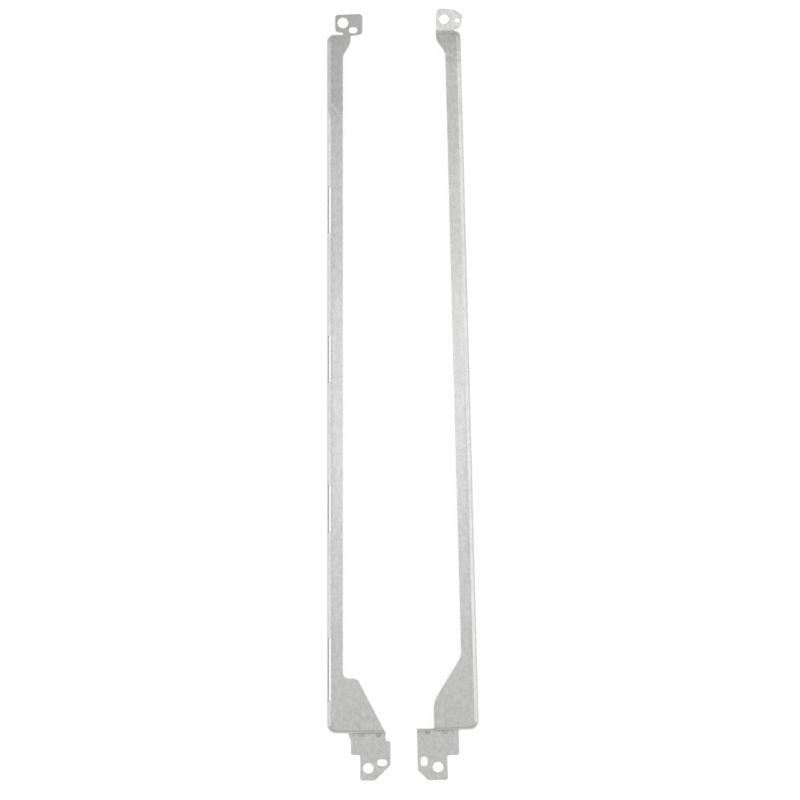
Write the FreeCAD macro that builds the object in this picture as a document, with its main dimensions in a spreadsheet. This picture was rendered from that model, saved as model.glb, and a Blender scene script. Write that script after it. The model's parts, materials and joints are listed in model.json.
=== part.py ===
"""Pair of laptop screen side brackets: two long stamped and folded steel sheets.

Each bracket is a narrow web lying level at the top, a flange folded down along its outer
edge and round both outer corners, and a flat screw tab at either end. A stepped wall
carries each tab down to the level of the flange's lower edge.

Each bracket is drawn in a frame of its own: x runs inward from the outer face of the
flange, y runs from the outer face of the foot wall to the head, and z is up from the
surface that it lies on. The right one is drawn with its x turned round.
"""
import FreeCAD, Part
import math
import os
import re
import Sketcher
from enum import IntEnum, auto
from FreeCAD import Placement, Rotation, Vector

# Driving sizes: name, millimetres or degrees, meaning
SIZES = [
    ("sheet_thickness", 0.5, "steel sheet"),
    ("bend_radius", 0.8, "inside radius of every bend"),
    ("feature_lap", 0.1, "overlap of two features where they merge"),
    ("bracket_height", 5.0, "top of the web above the resting surface"),
    ("rail_length", 202.9, "foot wall to head wall, outer faces"),
    ("rail_width", 4.6, "flange's outer face to the web's inner edge"),
    ("head_corner_radius", 2.0, "outer corner at the head"),
    ("foot_corner_radius", 2.5, "outer corner at the foot"),
    ("pad_depth", 2.5, "wide part of the web at the head"),
    ("pad_taper", 3.75, "length of the taper below the pad"),
    ("pad_corner_radius", 2.4, "rounding where the taper starts"),
    ("pad_root_radius", 3.0, "rounding where the taper meets the rail"),
    ("dart_start", 9.7, "first stiffening dart from the outer face"),
    ("dart_pitch", 5.1, "between the two darts of a foot step"),
    ("dart_leg", 1.5, "height and reach of a dart"),
    ("dart_width", 1.5, "width of a dart"),
    ("dart_ridge_radius", 0.4, "rounding of a dart's ridge"),
    ("panel_hole_diameter", 2.2, "clearance for a panel side screw"),
    ("panel_hole_height", 2.2, "screw axis above the resting surface"),
    ("panel_hole_start", 40.2, "first side screw from the foot wall"),
    ("panel_hole_pitch", 122.0, "between the two side screws"),
    ("window_width", 1.05, "windows across the bend, from the outer face and from the top"),
    ("window_length", 13.5, "each of the three upper windows in the bend"),
    ("window_start", 58.5, "lowest of the three from the foot wall"),
    ("window_pitch", 43.4, "between the three upper windows"),
    ("foot_window_length", 18.1, "window beside the gusset"),
    ("foot_window_start", 9.5, "that window from the foot wall"),
    ("left_pad_width", 6.8, "width of the left pad"),
    ("left_gusset_height", 16.0, "top of the left gusset above the foot wall"),
    ("left_gusset_top", 8.75, "width of the left gusset at its top"),
    ("left_gusset_overhang", 0.15, "left gusset past the end of its foot step"),
    ("left_gusset_root_radius", 1.7, "rounding between rail and gusset"),
    ("left_gusset_corner_radius", 2.2, "rounding of the gusset's shoulder"),
    ("left_step_start", 6.1, "outer end of the left foot step"),
    ("left_step_end", 16.95, "inner end of the left foot step"),
    ("left_neck_start", 4.55, "outer end of the left head step"),
    ("left_ear_inset", 0.7, "outer edge of the left ear from the end of the step"),
    ("left_ear_slant", 1.7, "reach of the slanted edge above the ear"),
    ("left_ear_reach", 5.85, "lower end of the ear"),
    ("left_foot_edge", 9.55, "outer edge of the left foot tab"),
    ("left_foot_reach", 13.3, "lower end of the left foot tab"),
    ("left_shoulder_width", 1.45, "inner edge of the left foot tab past its step"),
    ("left_foot_chamfer", 4.55, "cut corner of the left foot tab"),
    ("left_shoulder_reach", 1.5, "start of the shoulder on the inner edge"),
    ("left_shoulder_slant", 0.6, "further reach of the shoulder at its tip"),
    ("left_foot_hole_inset", 2.35, "left foot screw hole from the tab's outer edge"),
    ("left_foot_hole_margin", 3.55, "left foot screw hole from the tab's lower end"),
    ("left_foot_hole_diameter", 3.1, "left foot screw hole"),
    ("left_foot_slot_inset", 2.45, "left foot locating slot from the tab's inner edge"),
    ("left_foot_slot_margin", 5.2, "left foot locating slot from the tab's lower end"),
    ("left_head_edge", 2.25, "outer edge of the left head tab"),
    ("left_head_gap", 0.3, "relief between head wall and tab"),
    ("left_head_reach", 5.35, "far edge of the left head tab, outer end"),
    ("left_head_rise", 0.35, "slant of that far edge"),
    ("left_head_width", 10.2, "inner edge of the left head tab"),
    ("left_wing_setback", 0.7, "near edge of the wing, back past the root"),
    ("left_wing_rise", 0.5, "slant of that near edge"),
    ("left_head_hole_inset", 2.25, "left head screw hole from the tab's outer edge"),
    ("left_head_hole_margin", 2.3, "left head screw hole from the tab's far edge"),
    ("left_head_hole_diameter", 3.1, "left head screw hole"),
    ("left_head_slot_inset", 2.7, "left head locating slot from the tab's inner edge"),
    ("left_head_slot_reach", 0.9, "left head locating slot from where the tab begins"),
    ("left_head_slot_length", 2.5, "left head locating slot"),
    ("left_head_slot_width", 1.8, "left head locating slot"),
    ("right_pad_width", 7.1, "width of the right pad"),
    ("right_gusset_start", 21.4, "upper end of the right gusset's slope"),
    ("right_gusset_end", 8.3, "lower end of the right gusset's slope"),
    ("right_gusset_width", 13.0, "width of the right gusset"),
    ("right_gusset_root_radius", 6.0, "rounding between rail and gusset"),
    ("right_gusset_corner_radius", 8.0, "rounding of the gusset's shoulder"),
    ("right_step_start", 5.8, "outer end of the right foot step"),
    ("right_step_end", 18.0, "inner end of the right foot step and tab"),
    ("right_neck_start", 2.2, "outer end of the right head step"),
    ("right_ear_reach", 6.85, "lower end of the ear on the right foot tab"),
    ("right_foot_edge", 9.3, "outer edge of the right foot tab"),
    ("right_foot_reach", 14.0, "lower end of the right foot tab"),
    ("right_foot_chamfer", 3.0, "cut corner of the right foot tab"),
    ("right_foot_hole_inset", 2.8, "right foot screw hole from the tab's outer edge"),
    ("right_foot_hole_margin", 3.75, "right foot screw hole from the tab's lower end"),
    ("right_foot_hole_diameter", 3.1, "right foot screw hole"),
    ("right_foot_slot_inset", 1.9, "right foot locating slot from the tab's inner edge"),
    ("right_foot_slot_margin", 5.5, "right foot locating slot from the tab's lower end"),
    ("right_head_overhang", 0.77, "wing of the head tab past the flange"),
    ("right_wing_slant", 0.55, "lean of the wing's outer edge"),
    ("right_wing_reach", 4.2, "far end of the wing's outer edge"),
    ("right_wing_radius", 2.0, "rounding of the wing's near corner"),
    ("right_cut_x", 1.7, "inner end of the wing's cut corner"),
    ("right_cut_reach", 5.75, "inner end of the wing's cut corner"),
    ("right_head_reach", 6.25, "far edge of the right head tab, inner end"),
    ("right_head_lean", 0.35, "lean of the right head tab's inner edge"),
    ("right_head_radius", 1.4, "rounding of the inner far corner"),
    ("right_head_tilt", 3.5, "degrees that the right head tab is bent up"),
    ("right_head_hole_inset", 2.5, "right head screw hole from the tab's inner edge"),
    ("right_head_hole_margin", 3.2, "right head screw hole from the tab's far edge"),
    ("right_head_hole_diameter", 2.9, "right head screw hole"),
    ("right_pin_hole_inset", 1.52, "right locating hole from the wing's outer edge"),
    ("right_pin_hole_margin", 1.55, "right locating hole from the wing's far end"),
    ("right_pin_hole_diameter", 1.5, "right locating hole"),
    ("foot_slot_length", 2.9, "locating slots of the foot tabs"),
    ("foot_slot_width", 2.0, "locating slots of the foot tabs"),
    ("tab_corner_radius", 0.8, "plain corners of the tabs"),
    ("tab_cut_radius", 1.1, "corners of the slanted cuts"),
    ("tab_notch_radius", 0.4, "inner corners of the tabs"),
    ("pair_spacing", 44.05, "between the outer faces of the two flanges at the foot"),
    ("pair_stagger", 1.2, "right foot wall ahead of the left one"),
    ("right_yaw", 1.52, "degrees that the right bracket lies turned"),
]


class Spot(IntEnum):
    """The points of a sketch element, as constraints number them."""

    START = auto()
    END = auto()
    CENTRE = auto()


# The sketch's own origin: the start of its level axis, which constraints number -1
ORIGIN = (-1, Spot.START)

# Formulas that several features share
OUTER_BEND = "(bend_radius + sheet_thickness)"
INNER_FACE = "(bracket_height - sheet_thickness)"
LEFT_GUSSET_FOOT = "(left_step_end + left_gusset_overhang)"
LEFT_FOOT_WIDTH = "(left_step_end + left_shoulder_width)"
LEFT_EAR_EDGE = "left_step_start + left_ear_inset"
DIAGONAL = math.sqrt(2)

# Upper windows in the left bend, and how near two lengths count as equal
UPPER_WINDOWS = 3
SNUG = 0.001

doc = FreeCAD.newDocument("ScreenBrackets")
sheet = doc.addObject("Spreadsheet::Sheet", "Sizes")
for row, (alias, size, meaning) in enumerate(SIZES, start=1):
    sheet.set(f"A{row}", meaning)
    sheet.set(f"B{row}", str(size))
    sheet.setAlias(f"B{row}", alias)
doc.recompute()


def bound(formula):
    """The formula with each bare name turned into its cell of the sheet."""
    return re.sub(r"[a-z]\w*", lambda name: "Sizes." + name.group(), formula)


def number(formula):
    """What the formula comes to with the sheet's present values."""
    return float(sheet.evalExpression(bound(formula)))


def new_sketch(body, name, role, lift=None):
    """An empty sketch on one of the body's origin planes, or raised from it."""
    plane = next(item for item in body.Origin.OriginFeatures if item.Role == role)
    sketch = body.newObject("Sketcher::SketchObject", f"{body.Name}_{name}")
    sketch.AttachmentSupport = [(plane, "")]
    sketch.MapMode = "FlatFace"
    if lift:
        sketch.setExpression("AttachmentOffset.Base.z", bound(lift))
    return sketch


def constrain(sketch, rules):
    """Add the constraints, and bind each one that comes with a formula."""
    first = sketch.ConstraintCount
    sketch.addConstraint([rule for rule, _ in rules])
    for index, (_, formula) in enumerate(rules, start=first):
        if formula:
            sketch.setExpression(f"Constraints[{index}]", bound(formula))


def pinned(element, point, x, y):
    """Constraints that hold a point of the sketch at two formulas."""
    return [
        (Sketcher.Constraint(kind, *ORIGIN, element, point, number(formula)), formula)
        for kind, formula in (("DistanceX", x), ("DistanceY", y))
    ]


def rounded(before, corner, after, radius):
    """The arc that rounds a corner, the points where it starts and ends, and its turn."""
    inward = (corner - before).normalize()
    outward = (after - corner).normalize()
    reach = radius * math.tan(inward.getAngle(outward) / 2)
    entry = corner - inward * reach
    leave = corner + outward * reach
    turn = 1 if inward.cross(outward).z > 0 else -1
    middle = entry + Vector(-inward.y, inward.x, 0) * (turn * radius)
    first, last = (entry, leave) if turn > 0 else (leave, entry)
    angles = [math.atan2(point.y - middle.y, point.x - middle.x) for point in (first, last)]
    if angles[1] < angles[0]:
        angles[1] += 2 * math.pi
    circle = Part.Circle(middle, Vector(0, 0, 1), radius)
    return Part.ArcOfCircle(circle, *angles), entry, leave, turn


def draw(sketch, corners, closed=True):
    """Straight runs through corners (x, y) or (x, y, radius), each rounded by its radius."""
    points = [Vector(number(corner[0]), number(corner[1]), 0) for corner in corners]
    count = len(points)
    entries, leaves, arcs = list(points), list(points), {}
    for index, corner in enumerate(corners):
        if len(corner) > 2:
            after = points[(index + 1) % count]
            arc, entry, leave, turn = rounded(points[index - 1], points[index], after, number(corner[2]))
            entries[index], leaves[index], arcs[index] = entry, leave, (arc, turn)
    runs = count if closed else count - 1
    lines = [
        sketch.addGeometry(Part.LineSegment(leaves[index], entries[(index + 1) % count]))
        for index in range(runs)
    ]
    rules = []
    for index, corner in enumerate(corners):
        if not closed and index == count - 1:
            rules += pinned(lines[-1], Spot.END, *corner)
        elif not closed and index == 0:
            rules += pinned(lines[0], Spot.START, *corner)
        elif index in arcs:
            arc, turn = arcs[index]
            bend = sketch.addGeometry(arc)
            mark = sketch.addGeometry(Part.Point(points[index]), True)
            near, far = (Spot.START, Spot.END) if turn > 0 else (Spot.END, Spot.START)
            rules += [
                (Sketcher.Constraint("Tangent", lines[index - 1], Spot.END, bend, near), None),
                (Sketcher.Constraint("Tangent", bend, far, lines[index], Spot.START), None),
                (Sketcher.Constraint("PointOnObject", mark, Spot.START, lines[index - 1]), None),
                (Sketcher.Constraint("PointOnObject", mark, Spot.START, lines[index]), None),
                (Sketcher.Constraint("Radius", bend, number(corner[2])), corner[2]),
            ]
            rules += pinned(mark, Spot.START, *corner[:2])
        else:
            ends = (lines[index - 1], Spot.END, lines[index], Spot.START)
            rules.append((Sketcher.Constraint("Coincident", *ends), None))
            rules += pinned(lines[index], Spot.START, *corner)
    constrain(sketch, rules)


def round_hole(sketch, x, y, diameter):
    """A circle about a point."""
    middle = Vector(number(x), number(y), 0)
    hole = sketch.addGeometry(Part.Circle(middle, Vector(0, 0, 1), number(diameter) / 2))
    rules = pinned(hole, Spot.CENTRE, x, y)
    rules.append((Sketcher.Constraint("Diameter", hole, number(diameter)), diameter))
    constrain(sketch, rules)


def slotted_hole(sketch, x, y, length, width, upright=False):
    """A slot with round ends about a point, along x or upright along y."""
    half = f"({length} - {width}) / 2"
    offsets = [f"- {half}", f"+ {half}"]
    ends = [(x, f"{y} {offset}") if upright else (f"{x} {offset}", y) for offset in offsets]
    middles = [Vector(number(end_x), number(end_y), 0) for end_x, end_y in ends]
    radius = number(width) / 2
    heading = math.pi / 2 if upright else 0.0
    side = Vector(-math.sin(heading), math.cos(heading), 0) * radius
    arcs = []
    for middle, first in zip(middles, (heading + math.pi / 2, heading - math.pi / 2)):
        circle = Part.Circle(middle, Vector(0, 0, 1), radius)
        arcs.append(sketch.addGeometry(Part.ArcOfCircle(circle, first, first + math.pi)))
    near = sketch.addGeometry(Part.LineSegment(middles[0] - side, middles[1] - side))
    far = sketch.addGeometry(Part.LineSegment(middles[1] + side, middles[0] + side))
    rules = [
        (Sketcher.Constraint("Tangent", arcs[0], Spot.END, near, Spot.START), None),
        (Sketcher.Constraint("Tangent", near, Spot.END, arcs[1], Spot.START), None),
        (Sketcher.Constraint("Tangent", arcs[1], Spot.END, far, Spot.START), None),
        (Sketcher.Constraint("Tangent", far, Spot.END, arcs[0], Spot.START), None),
        (Sketcher.Constraint("Equal", arcs[0], arcs[1]), None),
        (Sketcher.Constraint("Diameter", arcs[0], number(width)), width),
    ]
    for arc, end in zip(arcs, ends):
        rules += pinned(arc, Spot.CENTRE, *end)
    constrain(sketch, rules)


def pad(body, sketch, length):
    """The sketch raised along its normal."""
    feature = body.newObject("PartDesign::Pad", f"{sketch.Name}_pad")
    feature.Profile = sketch
    feature.setExpression("Length", bound(length))
    return feature


def pocket(body, sketch, length, both_ways=False):
    """The sketch cut against its normal, or half the length each way."""
    feature = body.newObject("PartDesign::Pocket", f"{sketch.Name}_cut")
    feature.Profile = sketch
    feature.setExpression("Length", bound(length))
    if both_ways:
        feature.SideType = "Symmetric"
    return feature


class Bracket:
    """One bracket: its body, its hand and the steps that make it."""

    def __init__(self, hand):
        self.hand = hand
        self.body = doc.addObject("PartDesign::Body", f"{hand}_bracket")
        self.body.Label = f"{hand}_bracket"

    def x(self, inward):
        """The body's x for a distance inward from the flange's outer face."""
        return f"({inward})" if self.hand == "left" else f"-({inward})"

    def plan(self, corners):
        """Corners with their inward distances turned into the body's x."""
        return [(self.x(corner[0]), *corner[1:]) for corner in corners]

    def web(self, inner_edge):
        """The level strip between the bends, closed by the corners of its inner edge."""
        sketch = new_sketch(self.body, "web", "XY_Plane", INNER_FACE)
        outer_edge = [
            (OUTER_BEND, OUTER_BEND, f"foot_corner_radius - {OUTER_BEND}"),
            (OUTER_BEND, f"rail_length - {OUTER_BEND}", f"head_corner_radius - {OUTER_BEND}"),
        ]
        draw(sketch, self.plan(outer_edge + inner_edge))
        pad(self.body, sketch, "sheet_thickness")

    def run(self, name, section, near, far):
        """A section across the sheet, carried inward from one distance to the other."""
        start = near if self.hand == "left" else far
        sketch = new_sketch(self.body, name, "YZ_Plane", self.x(start))
        draw(sketch, section)
        pad(self.body, sketch, f"({far}) - ({near})")

    def flange(self, foot_end, head_end):
        """The flange: a folded edge carried from the foot step round both outer corners."""
        path = new_sketch(self.body, "flange_path", "XY_Plane")
        corners = [
            (foot_end, "0"),
            ("0", "0", "foot_corner_radius"),
            ("0", "rail_length", "head_corner_radius"),
            (head_end, "rail_length"),
        ]
        draw(path, self.plan(corners), closed=False)
        section = new_sketch(self.body, "flange_section", "YZ_Plane", self.x(foot_end))
        draw(section, folded_edge())
        doc.recompute()
        sweep = self.body.newObject("PartDesign::AdditivePipe", f"{self.body.Name}_flange")
        sweep.Profile = section
        sweep.Spine = (path, [f"Edge{index + 1}" for index in range(len(path.Shape.Edges))])

    def tab(self, end, corners, holes, slots=(), tilt=None):
        """A flat screw tab with its holes, drawn outward from the line where it begins."""
        sketch = new_sketch(self.body, f"{end}_tab", "XY_Plane")
        if tilt:
            sketch.AttachmentOffset = Placement(Vector(), Rotation(Vector(1, 0, 0), number(tilt)))
            sketch.setExpression("AttachmentOffset.Rotation.Angle", bound(tilt))
        sketch.setExpression("AttachmentOffset.Base.y", bound(outward(end, "bend_radius")))

        def place(inward, reach):
            return self.x(inward), f"-({reach})" if end == "foot" else reach

        draw(sketch, [(*place(*corner[:2]), *corner[2:]) for corner in corners])
        for inward, reach, diameter in holes:
            round_hole(sketch, *place(inward, reach), diameter)
        for inward, reach, length, width, upright in slots:
            slotted_hole(sketch, *place(inward, reach), length, width, upright)
        pad(self.body, sketch, "sheet_thickness")

    def darts(self):
        """Two pressed darts that stiffen the lower bend of the foot step."""
        places = ("dart_start", "dart_start + dart_pitch")
        front = [
            ("0", "sheet_thickness + dart_leg"),
            ("0", "sheet_thickness"),
            ("-dart_leg", "sheet_thickness"),
        ]
        for index, place in enumerate(places):
            self.run(f"dart_{index}", front, f"{place} - dart_width / 2", f"{place} + dart_width / 2")
        doc.recompute()
        front_faces = self.body.Tip
        edges = enumerate(front_faces.Shape.Edges, start=1)
        ridges = self.body.newObject("PartDesign::Fillet", f"{self.body.Name}_dart_ridges")
        ridges.Base = (front_faces, [f"Edge{index}" for index, edge in edges if is_dart_ridge(edge)])
        ridges.setExpression("Radius", bound("dart_ridge_radius"))
        back_leg = f"(dart_leg + sheet_thickness * (1 - {DIAGONAL}))"
        back = [
            ("sheet_thickness", f"{back_leg} + sheet_thickness"),
            ("sheet_thickness", "0"),
            (f"-{back_leg}", "0"),
        ]
        for index, place in enumerate(places):
            sketch = new_sketch(self.body, f"dent_{index}", "YZ_Plane", self.x(place))
            draw(sketch, back)
            pocket(self.body, sketch, "dart_width - sheet_thickness", both_ways=True)

    def panel_holes(self):
        """Two holes through the long flange for the panel's side screws."""
        sketch = new_sketch(self.body, "panel_holes", "YZ_Plane")
        for place in ("panel_hole_start", "panel_hole_start + panel_hole_pitch"):
            round_hole(sketch, place, "panel_hole_height", "panel_hole_diameter")
        pocket(self.body, sketch, f"2 * {OUTER_BEND}", both_ways=True)

    def windows(self, spans):
        """Windows punched through the bend, each given by its start and its length."""
        sketch = new_sketch(self.body, "windows", "XY_Plane", "bracket_height")
        for start, length in spans:
            finish = f"{start} + {length}"
            corners = [
                ("-sheet_thickness", start),
                ("window_width", start),
                ("window_width", finish),
                ("-sheet_thickness", finish),
            ]
            draw(sketch, self.plan(corners))
        pocket(self.body, sketch, "window_width")


def outward(end, distance):
    """The body's y for a distance outward from the wall at the foot or the head."""
    return f"-({distance})" if end == "foot" else f"rail_length + ({distance})"


def folded_edge():
    """Section of web, bend and flange at the foot wall, as y and z."""
    web_end = f"{OUTER_BEND} + feature_lap"
    return [
        (web_end, "bracket_height"),
        ("0", "bracket_height", OUTER_BEND),
        ("0", "0"),
        ("sheet_thickness", "0"),
        ("sheet_thickness", INNER_FACE, "bend_radius"),
        (web_end, INNER_FACE),
    ]


def wall_foot(end):
    """The lower bend of a step, from the wall's outer face round to its inner face."""
    tab_end = outward(end, "bend_radius + feature_lap")
    return [
        (outward(end, "0"), "sheet_thickness", "bend_radius"),
        (tab_end, "sheet_thickness"),
        (tab_end, "0"),
        (outward(end, "-sheet_thickness"), "0", OUTER_BEND),
    ]


def stepped_wall(end):
    """Section of web, wall and tab where the sheet steps down, as y and z."""
    web_end = outward(end, f"-({OUTER_BEND} + feature_lap)")
    above = [
        (web_end, "bracket_height"),
        (outward(end, "0"), "bracket_height", OUTER_BEND),
    ]
    below = [
        (outward(end, "-sheet_thickness"), INNER_FACE, "bend_radius"),
        (web_end, INNER_FACE),
    ]
    return above + wall_foot(end) + below


def free_wall(end):
    """Section of a wall that stands up from the tab with no web above it."""
    wall_top = f"bracket_height - {OUTER_BEND}"
    inner_top = (outward(end, "-sheet_thickness"), wall_top)
    return [(outward(end, "0"), wall_top)] + wall_foot(end) + [inner_top]


def is_dart_ridge(edge):
    """True for the slanted edges along the front of a dart."""
    box = edge.BoundBox
    leg = number("dart_leg")
    rises = abs(box.YLength - leg) < SNUG and abs(box.ZLength - leg) < SNUG
    return rises and box.XLength < SNUG


def head_pad(width):
    """The web's inner edge from the head step down the taper to the rail."""
    return [
        (width, f"rail_length - {OUTER_BEND}"),
        (width, "rail_length - pad_depth", "pad_corner_radius"),
        ("rail_width", "rail_length - pad_depth - pad_taper", "pad_root_radius"),
    ]


def left_slope(height):
    """Width of the left gusset at a height above the foot wall."""
    narrowing = f"({LEFT_GUSSET_FOOT} - left_gusset_top) / left_gusset_height"
    return f"{LEFT_GUSSET_FOOT} - {narrowing} * ({height})"


def left_bracket():
    """The left bracket, with four windows punched through the bend of its long edge."""
    bracket = Bracket("left")
    gusset = [
        ("rail_width", "left_gusset_height", "left_gusset_root_radius"),
        ("left_gusset_top", "left_gusset_height", "left_gusset_corner_radius"),
        (left_slope(OUTER_BEND), OUTER_BEND),
    ]
    bracket.web(head_pad("left_pad_width") + gusset)
    bracket.run("foot_step", stepped_wall("foot"), "left_step_start", "left_step_end")
    trim_left_step(bracket)
    bracket.run("head_step", stepped_wall("head"), "left_neck_start", "left_pad_width")
    bracket.darts()
    bracket.flange("left_step_start", "left_neck_start")
    foot_corners = [
        ("left_step_start", "0"),
        (LEFT_EAR_EDGE, "left_ear_slant"),
        (LEFT_EAR_EDGE, "left_ear_reach", "tab_corner_radius"),
        ("left_foot_edge", "left_ear_reach", "tab_notch_radius"),
        ("left_foot_edge", "left_foot_reach", "tab_corner_radius"),
        (f"{LEFT_FOOT_WIDTH} - left_foot_chamfer", "left_foot_reach", "tab_cut_radius"),
        (LEFT_FOOT_WIDTH, "left_foot_reach - left_foot_chamfer", "tab_cut_radius"),
        (LEFT_FOOT_WIDTH, "left_shoulder_reach + left_shoulder_slant", "tab_notch_radius"),
        ("left_step_end", "left_shoulder_reach"),
        ("left_step_end", "0"),
    ]
    foot_hole = (
        "left_foot_edge + left_foot_hole_inset",
        "left_foot_reach - left_foot_hole_margin",
        "left_foot_hole_diameter",
    )
    foot_slot = (
        f"{LEFT_FOOT_WIDTH} - left_foot_slot_inset",
        "left_foot_reach - left_foot_slot_margin",
        "foot_slot_length",
        "foot_slot_width",
        False,
    )
    bracket.tab("foot", foot_corners, [foot_hole], [foot_slot])
    head_corners = [
        ("left_neck_start", "0"),
        ("left_neck_start", "left_head_gap"),
        ("left_head_edge", "left_head_gap", "tab_cut_radius"),
        ("left_head_edge", "left_head_reach", "tab_corner_radius"),
        ("left_head_width", "left_head_reach + left_head_rise", "tab_cut_radius"),
        ("left_head_width", "left_wing_rise - left_wing_setback", "tab_cut_radius"),
        ("left_pad_width", "-left_wing_setback"),
        ("left_pad_width", "0"),
    ]
    head_hole = (
        "left_head_edge + left_head_hole_inset",
        "left_head_reach - left_head_hole_margin",
        "left_head_hole_diameter",
    )
    head_slot = (
        "left_head_width - left_head_slot_inset",
        "left_head_slot_reach",
        "left_head_slot_length",
        "left_head_slot_width",
        False,
    )
    bracket.tab("head", head_corners, [head_hole], [head_slot])
    upper = [(f"window_start + {index} * window_pitch", "window_length") for index in range(UPPER_WINDOWS)]
    bracket.windows(upper + [("foot_window_start", "foot_window_length")])
    bracket.panel_holes()
    return bracket.body


def trim_left_step(bracket):
    """Carry the gusset's slope on through the bend at the inner end of the foot step."""
    top = f"{OUTER_BEND} + 2 * feature_lap"
    corners = [
        (left_slope(top), top),
        (left_slope("-feature_lap"), "-feature_lap"),
        (f"{LEFT_GUSSET_FOOT} + sheet_thickness", "-feature_lap"),
        (f"{LEFT_GUSSET_FOOT} + sheet_thickness", top),
    ]
    sketch = new_sketch(bracket.body, "step_trim", "XY_Plane", "bracket_height")
    draw(sketch, bracket.plan(corners))
    pocket(bracket.body, sketch, "bracket_height")


def right_bracket():
    """The right bracket: plain bend, a wall past its gusset and a head tab bent up a little."""
    bracket = Bracket("right")
    gusset = [
        ("rail_width", "right_gusset_start", "right_gusset_root_radius"),
        ("right_gusset_width", "right_gusset_end", "right_gusset_corner_radius"),
        ("right_gusset_width", OUTER_BEND),
    ]
    bracket.web(head_pad("right_pad_width") + gusset)
    bracket.run("foot_step", stepped_wall("foot"), "right_step_start", "right_gusset_width")
    bracket.run("free_wall", free_wall("foot"), "right_gusset_width", "right_step_end")
    bracket.run("head_step", stepped_wall("head"), "right_neck_start", "right_pad_width")
    bracket.darts()
    bracket.flange("right_step_start", "right_neck_start")
    foot_corners = [
        ("right_step_start", "0"),
        ("right_step_start", "right_ear_reach", "tab_corner_radius"),
        ("right_foot_edge", "right_ear_reach", "tab_notch_radius"),
        ("right_foot_edge", "right_foot_reach", "tab_corner_radius"),
        ("right_step_end - right_foot_chamfer", "right_foot_reach", "tab_cut_radius"),
        ("right_step_end", "right_foot_reach - right_foot_chamfer", "tab_cut_radius"),
        ("right_step_end", "0"),
    ]
    foot_hole = (
        "right_foot_edge + right_foot_hole_inset",
        "right_foot_reach - right_foot_hole_margin",
        "right_foot_hole_diameter",
    )
    foot_slot = (
        "right_step_end - right_foot_slot_inset",
        "right_foot_reach - right_foot_slot_margin",
        "foot_slot_length",
        "foot_slot_width",
        True,
    )
    bracket.tab("foot", foot_corners, [foot_hole], [foot_slot])
    head_corners = [
        ("right_neck_start", "0"),
        ("right_wing_slant - right_head_overhang", "feature_lap", "right_wing_radius"),
        ("-right_head_overhang", "right_wing_reach", "tab_corner_radius"),
        ("right_cut_x", "right_cut_reach", "tab_cut_radius"),
        ("right_pad_width - right_head_lean", "right_head_reach", "right_head_radius"),
        ("right_pad_width", "0"),
    ]
    head_hole = (
        "right_pad_width - right_head_hole_inset",
        "right_head_reach - right_head_hole_margin",
        "right_head_hole_diameter",
    )
    pin_hole = (
        "right_pin_hole_inset - right_head_overhang",
        "right_wing_reach - right_pin_hole_margin",
        "right_pin_hole_diameter",
    )
    bracket.tab("head", head_corners, [head_hole, pin_hole], tilt="right_head_tilt")
    bracket.panel_holes()
    return bracket.body


def lay_out(left, right):
    """Lay the right bracket beside the left one and centre the pair on the origin."""
    beside = Vector(number("pair_spacing"), number("pair_stagger"), 0)
    right.Placement = Placement(beside, Rotation(Vector(0, 0, 1), number("right_yaw")))
    box = left.Shape.optimalBoundingBox()
    box.add(right.Shape.optimalBoundingBox())
    middle = Vector(box.Center.x, box.Center.y, box.ZMin)
    for body in (left, right):
        body.Placement = Placement(body.Placement.Base - middle, body.Placement.Rotation)
    doc.recompute()


def write(bodies):
    """Check every object of the document, then write one file for each bracket."""
    failed = [item.Label for item in doc.Objects if {"Invalid", "Error"} & set(item.State)]
    if failed:
        raise RuntimeError(f"objects that failed: {failed}")
    for body in bodies:
        if body.Shape.isNull() or not body.Shape.isValid() or len(body.Shape.Solids) != 1:
            raise RuntimeError(f"{body.Label} is not one sound solid")
    os.makedirs("parts", exist_ok=True)
    for body in bodies:
        body.Shape.exportStep(f"parts/{body.Label}.step")
        print(f"{body.Label}: {body.Shape.Volume:.1f} cubic mm, {len(body.Shape.Faces)} faces")


pair = [left_bracket(), right_bracket()]
doc.recompute()
lay_out(*pair)
write(pair)
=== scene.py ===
# %% [markdown]
# # A pair of laptop screen brackets
#
# A laptop's screen panel hangs between two long rails. Each rail is one piece of zinc-plated steel,
# blanked from a sheet, pierced and folded. The packed solids already have its shape and place, with sharp
# edges. This lesson dresses them in what a close look at a real stamping shows: edges that the punch
# rolled over, truly round bends, darts that a tool pressed in, and a rolled, plated skin.
#
# The frame is loaded and measured first, because nothing below may move it.

# %% Load the frame
import json
from types import SimpleNamespace
import bpy
import numpy as np
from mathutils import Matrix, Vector
from mathutils.bvhtree import BVHTree
from mathutils.geometry import delaunay_2d_cdt


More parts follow.
